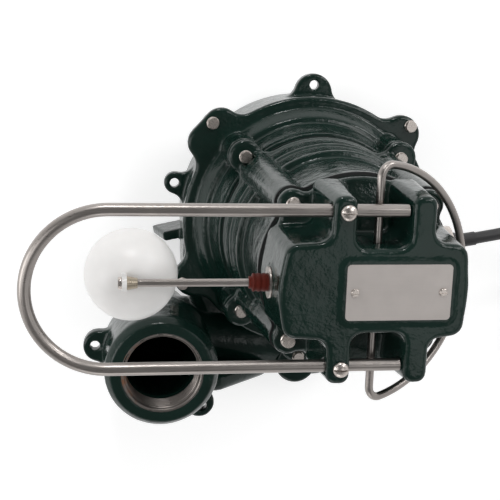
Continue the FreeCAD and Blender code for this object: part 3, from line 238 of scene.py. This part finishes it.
def make_camera():
    data = bpy.data.cameras.new("camera")
    data.sensor_width = sensor_width_mm
    data.lens = focal_pixels * sensor_width_mm / picture_pixels
    data.clip_start = camera_clip_start
    data.clip_end = camera_clip_end
    camera = linked("camera", data)
    forward = Vector((view_x, view_y, -math.sqrt(1 - view_x ** 2 - view_y ** 2)))
    level = forward.cross(Vector((0, 1, 0))).normalized()
    upward = level.cross(forward)
    turn = Matrix.Rotation(-camera_roll, 3, forward)
    right = turn @ level
    up = turn @ upward
    matrix = Matrix((right, up, -forward)).transposed().to_4x4()
    matrix.translation = axis + camera_offset
    camera.matrix_world = matrix
    bpy.context.scene.camera = camera


def make_floor():
    mesh = bpy.data.meshes.new("floor")
    half = floor_size / 2
    corners = [(-half, -half, 0), (half, -half, 0), (half, half, 0), (-half, half, 0)]
    mesh.from_pydata(corners, [], [(0, 1, 2, 3)])
    floor = linked("floor", mesh)
    material, tree, shader = new_material("floor", floor_colour, floor_roughness)
    shader.inputs["Specular IOR Level"].default_value = 0.0
    shader.inputs["Emission Color"].default_value = (1, 1, 1, 1)
    glow = add(tree, "ShaderNodeMath", operation="MULTIPLY")
    glow.inputs[1].default_value = floor_glow
    tree.links.new(shown_rays(tree), glow.inputs[0])
    tree.links.new(glow.outputs[0], shader.inputs["Emission Strength"])
    mesh.materials.append(material)


def make_world():
    """A pale wall all round under a dim ceiling."""
    world = bpy.data.worlds.new("world")
    bpy.context.scene.world = world
    world.use_nodes = True
    tree = world.node_tree
    background = tree.nodes["Background"]
    background.inputs["Color"].default_value = (1, 1, 1, 1)
    direction = add(tree, "ShaderNodeTexCoord")
    toward = add(tree, "ShaderNodeVectorMath", operation="DOT_PRODUCT")
    tree.links.new(direction.outputs["Generated"], toward.inputs[0])
    toward.inputs[1].default_value = ceiling_heart
    strength = ramped(tree, toward.outputs["Value"], wall_level, ceiling_level, ceiling_start, ceiling_end)
    tree.links.new(strength, background.inputs["Strength"])


def make_lamps():
    for name, around, above, size, power in lamps:
        data = bpy.data.lights.new(name, "AREA")
        data.shape = "DISK"
        data.size = size
        data.energy = power
        lamp = linked(name, data)
        x, y = polar(math.cos(math.radians(above)), around)
        way = Vector((x, y, math.sin(math.radians(above))))
        lamp.location = axis + lamp_target + way * lamp_distance
        lamp.rotation_mode = "QUATERNION"
        lamp.rotation_quaternion = (-way).to_track_quat("-Z", "Y")


# Shader nodes

def new_material(name, colour, roughness, metallic=0.0):
    material = bpy.data.materials.new(name)
    material.use_nodes = True
    tree = material.node_tree
    shader = tree.nodes["Principled BSDF"]
    shader.inputs["Base Color"].default_value = (*colour, 1)
    shader.inputs["Roughness"].default_value = roughness
    shader.inputs["Metallic"].default_value = metallic
    return material, tree, shader


def add(tree, kind, inputs=None, **settings):
    """A shader node with its settings, and with its inputs set by name."""
    made = tree.nodes.new(kind)
    for name, value in settings.items():
        setattr(made, name, value)
    for name, value in (inputs or {}).items():
        made.inputs[name].default_value = value
    return made


def shown_rays(tree):
    """One for camera, glossy and transmission rays, and zero for the rest."""
    path = add(tree, "ShaderNodeLightPath")
    first = add(tree, "ShaderNodeMath", operation="MAXIMUM")
    tree.links.new(path.outputs["Is Camera Ray"], first.inputs[0])
    tree.links.new(path.outputs["Is Glossy Ray"], first.inputs[1])
    second = add(tree, "ShaderNodeMath", operation="MAXIMUM")
    tree.links.new(first.outputs[0], second.inputs[0])
    tree.links.new(path.outputs["Is Transmission Ray"], second.inputs[1])
    return second.outputs[0]


def grain(tree, size, detail=3.0, stretch=(1, 1, 1)):
    """Noise with features about as large as size; a stretch below 1 draws them out along that axis."""
    coordinates = add(tree, "ShaderNodeTexCoord")
    mapping = add(tree, "ShaderNodeMapping", {"Scale": stretch})
    tree.links.new(coordinates.outputs["Object"], mapping.inputs["Vector"])
    texture = add(tree, "ShaderNodeTexNoise", {"Scale": 1.0 / size, "Detail": detail})
    tree.links.new(mapping.outputs["Vector"], texture.inputs["Vector"])
    return texture.outputs["Fac"]


def ramped(tree, value, low, high, from_low=0.3, from_high=0.7):
    """The value led from one range into another; by default from the range that noise mostly fills."""
    limits = {"From Min": from_low, "From Max": from_high, "To Min": low, "To Max": high}
    ramp = add(tree, "ShaderNodeMapRange", limits)
    tree.links.new(value, ramp.inputs["Value"])
    return ramp.outputs["Result"]


def bumped(tree, value, depth, before=None):
    bump = add(tree, "ShaderNodeBump", {"Distance": depth, "Strength": 1.0})
    tree.links.new(value, bump.inputs["Height"])
    if before:
        tree.links.new(before, bump.inputs["Normal"])
    return bump.outputs["Normal"]


def tint(tree, shader, value, first, second):
    """Colours the surface between two tones."""
    mix = add(tree, "ShaderNodeMix", data_type="RGBA")
    mix.inputs["A"].default_value = (*first, 1)
    mix.inputs["B"].default_value = (*second, 1)
    tree.links.new(value, mix.inputs["Factor"])
    tree.links.new(mix.outputs["Result"], shader.inputs["Base Color"])


def patches(tree, size):
    """Soft patches from 0 to 1."""
    return ramped(tree, grain(tree, size), 0, 1)


def roughen(tree, shader, value, low, high):
    tree.links.new(ramped(tree, value, low, high), shader.inputs["Roughness"])


def emboss(tree, shader, value, depth, before=None):
    tree.links.new(bumped(tree, value, depth, before), shader.inputs["Normal"])


def scaled(colour, factor):
    return tuple(min(1.0, factor * part) for part in colour)


# Materials

def enamel(name):
    """Thick glossy paint over sand-cast iron."""
    shade = (0.004, 0.015, 0.011)
    middle = (0.005, 0.018, 0.014)
    light = (0.006, 0.021, 0.016)
    patch_size = 30 * millimetre
    gloss_size = 6 * millimetre
    wave_size = 5.5 * millimetre
    wave_depth = 0.22 * millimetre
    sand_size = 1.8 * millimetre
    sand_depth = 0.13 * millimetre
    material, tree, shader = new_material(name, middle, roughness=0.20)
    shader.inputs["Specular IOR Level"].default_value = 0.32
    tint(tree, shader, patches(tree, patch_size), shade, light)
    roughen(tree, shader, grain(tree, gloss_size), low=0.08, high=0.19)
    waves = bumped(tree, grain(tree, wave_size, detail=2.0), wave_depth)
    emboss(tree, shader, grain(tree, sand_size), sand_depth, waves)
    return material


def stainless(name, colour, roughness, stretch=(1, 1, 1), depth=0.03 * millimetre):
    """Bare metal with fine streaks and a slight change of tone."""
    tone_size = 20 * millimetre
    darkest = 0.86
    streak_size = 0.6 * millimetre
    material, tree, shader = new_material(name, colour, roughness, metallic=1.0)
    streaks = grain(tree, streak_size, stretch=stretch)
    tint(tree, shader, patches(tree, tone_size), scaled(colour, darkest), colour)
    roughen(tree, shader, streaks, low=roughness - 0.04, high=roughness + 0.06)
    emboss(tree, shader, streaks, depth)
    return material


def foil(name, colour, roughness, metallic):
    """Brushed sheet under a clear lacquer."""
    tone_size = 12 * millimetre
    darkest = 0.93
    brush_size = 0.4 * millimetre
    brush_depth = 0.008 * millimetre
    material, tree, shader = new_material(name, colour, roughness, metallic)
    brushing = grain(tree, brush_size, detail=2.0, stretch=(0.02, 1, 1))
    tint(tree, shader, patches(tree, tone_size), scaled(colour, darkest), colour)
    roughen(tree, shader, brushing, low=roughness - 0.05, high=roughness + 0.08)
    emboss(tree, shader, brushing, brush_depth)
    return material


def moulded(name, colour, roughness, size=1.0 * millimetre, gloss=0.5):
    """Rubber, plastic or ceramic with a fine grain and a slight change of tone."""
    tone_size = 12 * millimetre
    lightest = 1.25
    gloss_size = 4 * millimetre
    depth = 0.03 * millimetre
    material, tree, shader = new_material(name, colour, roughness)
    shader.inputs["Specular IOR Level"].default_value = gloss
    tint(tree, shader, patches(tree, tone_size), colour, scaled(colour, lightest))
    roughen(tree, shader, grain(tree, gloss_size), low=roughness - 0.07, high=roughness + 0.07)
    emboss(tree, shader, grain(tree, size), depth)
    return material


def float_plastic(name):
    """White blow-moulded plastic that lets a little light in."""
    shade = (0.83, 0.815, 0.80)
    middle = (0.86, 0.845, 0.83)
    light = (0.88, 0.865, 0.85)
    tone_size = 16 * millimetre
    pore_size = 2 * millimetre
    pore_depth = 0.02 * millimetre
    material, tree, shader = new_material(name, middle, roughness=0.36)
    shader.inputs["Subsurface Weight"].default_value = 0.10
    shader.inputs["Subsurface Radius"].default_value = (1.0, 0.9, 0.85)
    shader.inputs["Subsurface Scale"].default_value = 2 * millimetre
    tint(tree, shader, patches(tree, tone_size), shade, light)
    emboss(tree, shader, grain(tree, pore_size), pore_depth)
    return material


def bare_iron(name):
    """The machined thread in the discharge mouth, with a touch of rust on one side."""
    iron = (0.19, 0.172, 0.159)
    rusty = (0.20, 0.07, 0.02)
    line_size = 0.5 * millimetre
    line_depth = 0.04 * millimetre
    spot_size = 5 * millimetre
    rust_start = 29 * millimetre
    rust_end = 12 * millimetre
    material, tree, shader = new_material(name, iron, roughness=0.30, metallic=1.0)
    turned_lines = grain(tree, line_size, detail=2.0, stretch=(0.15, 0.15, 1.0))
    roughen(tree, shader, turned_lines, low=0.26, high=0.46)
    emboss(tree, shader, turned_lines, line_depth)
    coordinates = add(tree, "ShaderNodeTexCoord")
    split = add(tree, "ShaderNodeSeparateXYZ")
    tree.links.new(coordinates.outputs["Object"], split.inputs[0])
    centre = axis + hub_offset
    side = ramped(tree, split.outputs["X"], 1.0, 0.0, centre.x - rust_start, centre.x - rust_end)
    spots = ramped(tree, grain(tree, spot_size, detail=4.0), 0.0, 1.0, from_low=0.45, from_high=0.65)
    rust = add(tree, "ShaderNodeMath", operation="MULTIPLY")
    tree.links.new(side, rust.inputs[0])
    tree.links.new(spots, rust.inputs[1])
    tint(tree, shader, rust.outputs[0], iron, rusty)
    metal = add(tree, "ShaderNodeMath", operation="SUBTRACT")
    metal.inputs[0].default_value = 1.0
    tree.links.new(rust.outputs[0], metal.inputs[1])
    tree.links.new(metal.outputs[0], shader.inputs["Metallic"])
    return material


def windings(name):
    """Lacquered copper wire, laid round."""
    copper = (0.45, 0.20, 0.09)
    wire_size = 0.9 * millimetre
    wire_depth = 0.3 * millimetre
    material, tree, shader = new_material(name, copper, roughness=0.35, metallic=0.7)
    emboss(tree, shader, grain(tree, wire_size, detail=2.0, stretch=(1, 1, 0.2)), wire_depth)
    return material


def laminations(name):
    """Stacked sheets of steel."""
    steel = (0.30, 0.31, 0.33)
    sheet_size = 0.6 * millimetre
    sheet_depth = 0.08 * millimetre
    material, tree, shader = new_material(name, steel, roughness=0.45, metallic=1.0)
    emboss(tree, shader, grain(tree, sheet_size, detail=1.0, stretch=(0.02, 0.02, 1)), sheet_depth)
    return material


metal_looks = {
    "stainless_rod": {"colour": (0.36, 0.33, 0.31), "roughness": 0.31, "stretch": (0.03, 1, 1),
                      "depth": 0.01 * millimetre},
    "stainless_bolts": {"colour": (0.60, 0.545, 0.505), "roughness": 0.28},
    "arm_collar_steel": {"colour": (0.40, 0.345, 0.27), "roughness": 0.30, "stretch": (1, 0.2, 0.2)},
    "plug_brass": {"colour": (0.70, 0.54, 0.26), "roughness": 0.28},
    "shaft_steel": {"colour": (0.56, 0.56, 0.57), "roughness": 0.22, "stretch": (1, 1, 0.1)},
    "rotor_aluminium": {"colour": (0.62, 0.62, 0.62), "roughness": 0.45},
    "bracket_iron": {"colour": (0.24, 0.24, 0.25), "roughness": 0.5, "depth": 0.1 * millimetre},
}
moulded_looks = {
    "black_gasket": {"colour": (0.010, 0.011, 0.011), "roughness": 0.6},
    "red_rubber": {"colour": (0.085, 0.010, 0.005), "roughness": 0.5, "size": 0.8 * millimetre,
                   "gloss": 0.15},
    "cord_jacket": {"colour": (0.015, 0.015, 0.016), "roughness": 0.45, "size": 0.7 * millimetre},
    "switch_phenolic": {"colour": (0.045, 0.035, 0.03), "roughness": 0.5},
    "switch_button": {"colour": (0.60, 0.57, 0.47), "roughness": 0.4},
    "seal_ceramic": {"colour": (0.78, 0.75, 0.66), "roughness": 0.25},
    "seal_carbon": {"colour": (0.03, 0.03, 0.03), "roughness": 0.3},
    "seal_rubber": {"colour": (0.02, 0.02, 0.02), "roughness": 0.5},
    "wire_insulation": {"colour": (0.05, 0.05, 0.05), "roughness": 0.4},
}


def all_materials():
    """Every material, by the name of its slot."""
    made = {name: stainless(name, **look) for name, look in metal_looks.items()}
    made.update({name: moulded(name, **look) for name, look in moulded_looks.items()})
    made["plate_aluminium"] = foil("plate_aluminium", (0.52, 0.48, 0.456), roughness=0.42, metallic=0.6)
    own_functions = {
        "green_enamel": enamel,
        "white_float": float_plastic,
        "machined_iron": bare_iron,
        "copper_winding": windings,
        "lamination_steel": laminations,
    }
    made.update({name: function(name) for name, function in own_functions.items()})
    return made


def dress_nodes(materials):
    """Gives each CAD node the material of its slot, which the frame's own material is named after."""
    for name, piece in nodes.items():
        for slot in piece.material_slots:
            slot.material = materials[slot.material.name.split(".")[0]]


# Pieces

def link_mesh(name, points, faces, material):
    """A smooth-shaded piece from its points and faces."""
    mesh = bpy.data.meshes.new(name)
    mesh.from_pydata([tuple(point) for point in points], [], faces)
    mesh.materials.append(material)
    for face in mesh.polygons:
        face.use_smooth = True
    return linked(name, mesh)


def grid_faces(rows, columns, closed_rows):
    """Quads between rows of points; each row closes on itself, and the last row may join the first."""
    faces = []
    for row in range(rows if closed_rows else rows - 1):
        following = (row + 1) % rows
        for column in range(columns):
            across = (column + 1) % columns
            faces.append((row * columns + column, following * columns + column,
                          following * columns + across, row * columns + across))
    return faces


def work_in(piece):
    """Works the piece's modifiers into its mesh, and returns that mesh."""
    depsgraph = bpy.context.evaluated_depsgraph_get()
    mesh = bpy.data.meshes.new_from_object(piece.evaluated_get(depsgraph))
    piece.modifiers.clear()
    piece.data = mesh
    return mesh


def coil_radius(turn):
    if turn <= turns_per_layer:
        return coil_inner_radius + turn_pitch * (turns_per_layer - turn)
    if turn >= turns_per_layer + climb_turns:
        return coil_inner_radius + turn_pitch * (turn - turns_per_layer - climb_turns)
    part = turn - turns_per_layer
    return coil_inner_radius - turn_pitch * part + turn_pitch * part ** 2 / climb_turns


def coil_rise(turn):
    part = min(max((turn - turns_per_layer) / climb_turns, 0.0), 1.0)
    return turn_pitch * part ** 2 * (3 - 2 * part)


def coil_point(turn):
    x, y = polar(coil_radius(turn), coil_start_angle + 360.0 * turn)
    return Vector((coil_centre_x + x, coil_centre_y + y, cord_radius / millimetre + coil_rise(turn)))


def cord_route():
    """The lead's listed points, then the coil's turns, in the frame."""
    coil_turns = 2 * turns_per_layer + climb_turns
    start_heading = (coil_point(heading_step) - coil_point(0.0)).normalized()
    end_heading = (coil_point(coil_turns) - coil_point(coil_turns - heading_step)).normalized()
    x, y = polar(relief_reach / millimetre, cord_angle)
    points = [Vector((x, y, cord_height / millimetre))] + [Vector(point) for point in lead_route]
    points.append(coil_point(0.0) - start_heading * coil_straight)
    count = round(coil_turns * points_per_turn)
    points += [coil_point(coil_turns * index / count) for index in range(count + 1)]
    points.append(coil_point(coil_turns) + end_heading * coil_straight)
    return [millimetres(*point) for point in points]


def make_cord(materials):
    curve = bpy.data.curves.new("power_cord", "CURVE")
    curve.dimensions = "3D"
    curve.bevel_depth = cord_radius
    curve.bevel_resolution = cord_bevel_steps
    curve.resolution_u = cord_steps
    curve.use_fill_caps = True
    route = cord_route()
    spline = curve.splines.new("NURBS")
    spline.points.add(len(route) - 1)
    for place, point in zip(spline.points, route):
        place.co = (*point, 1)
    spline.order_u = cord_order
    spline.use_endpoint_u = True
    curve.materials.append(materials["cord_jacket"])
    cord = linked("power_cord", curve)
    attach(cord, "root")
    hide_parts("cord_lead", "cord_coil")


def make_thread(materials):
    """A sleeve with a turned pipe thread and a chamfered mouth, inside the discharge hub."""
    centre = axis + hub_offset
    low = hub_top - thread_depth
    high = hub_top - mouth_chamfer
    steps = round((high - low) / thread_pitch * rows_per_pitch)
    points = []
    for step in range(steps + 1):
        z = low + (high - low) * step / steps
        for side in range(thread_sides):
            turn = side / thread_sides
            phase = ((z - low) / thread_pitch - turn) % 1.0
            ridge = 1.0 - abs(2 * phase - 1)
            fade = min(1.0, (z - low) / (2 * thread_pitch), (high - z) / thread_pitch)
            height = min(1.0, thread_slope * ridge) * max(fade, 0.0)
            x, y = polar(thread_root - (thread_root - thread_crest) * height, 360 * turn)
            points.append(centre + Vector((x, y, z)))
    outside = (
        (mouth_radius, hub_top - mouth_drop),
        (mouth_radius + mouth_lip, hub_top - mouth_lip_drop),
        (thread_root + sleeve_wall, high),
        (thread_root + sleeve_wall, low),
    )
    for radius, z in outside:
        points += [centre + Vector((x, y, z)) for x, y in circle(radius, thread_sides)]
    faces = grid_faces(steps + 1 + len(outside), thread_sides, closed_rows=True)
    piece = link_mesh("discharge_thread", points, faces, materials["machined_iron"])
    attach(piece, "root")


def make_boot(materials):
    """The rubber sleeve: two soft rings, a narrow nose on the arm and a flange under the retaining plate."""
    middle = (boot_low + boot_high) / 2
    flange_radius = (boot_high.y - boot_low.y) / 2
    start = boot_high.x
    body_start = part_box("boot_plate")[1].x + boot_plate_gap
    nose = boot_low.x
    body_end = nose + boot_nose_length
    outline = [
        (start, boot_bore_radius),
        (start, flange_radius),
        (body_start, flange_radius),
        (body_start, boot_body_radius),
    ]
    for step in range(1, boot_body_steps + 1):
        part = step / boot_body_steps
        dip = boot_ring_depth * (0.5 - 0.5 * math.cos(2 * math.pi * boot_ring_waves * part))
        outline.append((body_start + (body_end - body_start) * part, boot_body_radius - dip))
    outline += [
        (body_end - shoulder_length, boot_body_radius - shoulder_drop),
        (body_end - neck_start, boot_nose_radius + neck_flare),
        (body_end - neck_end, boot_nose_radius),
        (nose + tip_length, boot_nose_radius),
        (nose + tip_round, boot_nose_radius - tip_round_drop),
        (nose, boot_nose_radius - tip_drop),
        (nose, boot_bore_radius),
    ]
    points = []
    for x, radius in outline:
        points += [Vector((x, middle.y + y, middle.z + z)) for y, z in circle(radius, boot_sides)]
    faces = grid_faces(len(outline), boot_sides, closed_rows=True)
    piece = link_mesh("rubber_boot", points, faces, materials["red_rubber"])
    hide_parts("arm_boot")
    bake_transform(piece)


def tilted(point):
    """A point of the ball after the ball has settled a little to one side on its arm."""
    pivot = (collar_low + collar_high) / 2
    return pivot + Matrix.Rotation(math.radians(-ball_tilt), 3, "X") @ (point - pivot)


def make_ball():
    """The float ball, hanging a little to one side."""
    mesh = nodes["float_ball"].data.copy()
    matrix = nodes["float_ball"].matrix_world
    for corner in mesh.vertices:
        corner.co = tilted(matrix @ corner.co)
    ball = linked("settled_ball", mesh)
    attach(ball, "float")
    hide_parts("float_ball")


def make_seam(materials):
    """The fine moulding line round the ball's middle."""
    radius = (ball_high.x - ball_low.x) / 2
    centre = Vector((ball_low.x + radius, (ball_low.y + ball_high.y) / 2, ball_low.z + radius))
    points = []
    for step in range(seam_steps):
        for out, up in circle(seam_bead, seam_corners):
            x, y = polar(radius + out, 360 * step / seam_steps)
            points.append(tilted(centre + Vector((x, y, up))))
    faces = grid_faces(seam_steps, seam_corners, closed_rows=True)
    piece = link_mesh("ball_seam", points, faces, materials["white_float"])
    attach(piece, "float")


def cut_slot(dome, top):
    """Takes the screwdriver slot out of a dome, in line with the slot of the head under it."""
    mesh = bpy.data.meshes.new("slot_cutter")
    corners = [top + Vector((x, y, z)) for x in (-dome_slot_reach, dome_slot_reach)
               for y in (-dome_slot / 2, dome_slot / 2) for z in (-dome_slot_depth, 2 * dome_slot_depth)]
    faces = [(0, 1, 3, 2), (4, 6, 7, 5), (0, 4, 5, 1), (2, 3, 7, 6), (0, 2, 6, 4), (1, 5, 7, 3)]
    mesh.from_pydata([tuple(corner) for corner in corners], [], faces)
    cutter = linked("slot_cutter", mesh)
    cut = dome.modifiers.new("slot", "BOOLEAN")
    cut.operation = "DIFFERENCE"
    cut.object = cutter
    cut.solver = "EXACT"
    work_in(dome).set_sharp_from_angle(angle=sharp_angle)
    bpy.data.objects.remove(cutter)


def make_screw_domes(materials):
    """The rounded, slotted tops of the two screws that hold the guard."""
    low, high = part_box("guard_screws")
    peak = Vector((0, 0, dome_rise))
    faces = grid_faces(dome_rings, dome_sides, closed_rows=False)
    faces += [(dome_rings * dome_sides, side, (side + 1) % dome_sides) for side in range(dome_sides)]
    faces.append(tuple(reversed(range((dome_rings - 1) * dome_sides, dome_rings * dome_sides))))
    for name, place in (("near", low.y + dome_radius), ("far", high.y - dome_radius)):
        foot = Vector(((low.x + high.x) / 2, place, high.z - dome_foot))
        points = []
        for ring in range(1, dome_rings + 1):
            lift = math.pi / 2 * (1 - ring / dome_rings)
            outline = circle(dome_radius * math.cos(lift), dome_sides)
            points += [foot + Vector((x, y, dome_rise * math.sin(lift))) for x, y in outline]
        points.append(foot + peak)
        dome = link_mesh("guard_screw_dome_" + name, points, faces, materials["stainless_bolts"])
        cut_slot(dome, foot + peak)
        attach(dome, "root")


def cast_lump(name, lower, upper, rounding, materials):
    """A small form of the casing between two equal outlines, with soft edges."""
    count = len(lower)
    faces = []
    for index in range(count):
        following = (index + 1) % count
        faces.append((index, following, count + following, count + index))
    faces += [tuple(reversed(range(count))), tuple(range(count, 2 * count))]
    lump = link_mesh(name, lower + upper, faces, materials["green_enamel"])
    soft = lump.modifiers.new("soft", "BEVEL")
    soft.width = rounding
    soft.segments = round_steps
    soft.limit_method = "ANGLE"
    work_in(lump).set_sharp_from_angle(angle=sharp_angle)
    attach(lump, "root")


def make_boss(materials):
    """The round boss that shows low on the casing, past the guard loop."""
    outline = [(boss_centre_x + x, boss_centre_y + y) for x, y in circle(boss_radius, boss_sides)]
    lower = [millimetres(x, y, boss_foot) for x, y in outline]
    upper = [millimetres(x, y, boss_top) for x, y in outline]
    cast_lump("casing_boss", lower, upper, boss_round, materials)


def make_rib(materials):
    """The rib that slopes from the discharge hub down to the casing."""
    back = [millimetres(x, rib_back, z) for x, z in rib_outline]
    front = [millimetres(x, rib_front, z) for x, z in rib_outline]
    cast_lump("hub_rib", back, front, rib_round, materials)


def cast_skin(name, materials):
    """A casting as it leaves the mould: its edges softened and its faces slightly uneven."""
    skin = linked(name + "_skin", nodes[name].data.copy())
    remesh = skin.modifiers.new("voxels", "REMESH")
    remesh.mode = "VOXEL"
    remesh.voxel_size = cast_voxel
    smooth = skin.modifiers.new("soften", "SMOOTH")
    smooth.factor = cast_smoothing
    smooth.iterations = cast_rounding
    pattern = bpy.data.textures.new(name + "_wander", "CLOUDS")
    pattern.noise_scale = cast_wander_size
    pattern.noise_depth = cast_wander_depth
    uneven = skin.modifiers.new("uneven", "DISPLACE")
    uneven.texture = pattern
    uneven.texture_coords = "LOCAL"
    uneven.strength = 2 * cast_wander
    uneven.mid_level = 0.5
    thin = skin.modifiers.new("thin", "DECIMATE")
    thin.ratio = cast_keep
    mesh = work_in(skin)
    mesh.materials.clear()
    mesh.materials.append(materials["green_enamel"])
    for face in mesh.polygons:
        face.use_smooth = True
    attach(skin, "root")
    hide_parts(name)


make_camera()
make_floor()
make_world()
make_lamps()
palette = all_materials()
dress_nodes(palette)
make_cord(palette)
make_thread(palette)
make_boot(palette)
make_ball()
make_seam(palette)
make_screw_domes(palette)
make_boss(palette)
make_rib(palette)
for casting in castings:
    cast_skin(casting, palette)

bpy.context.scene.view_settings.view_transform = "Standard"
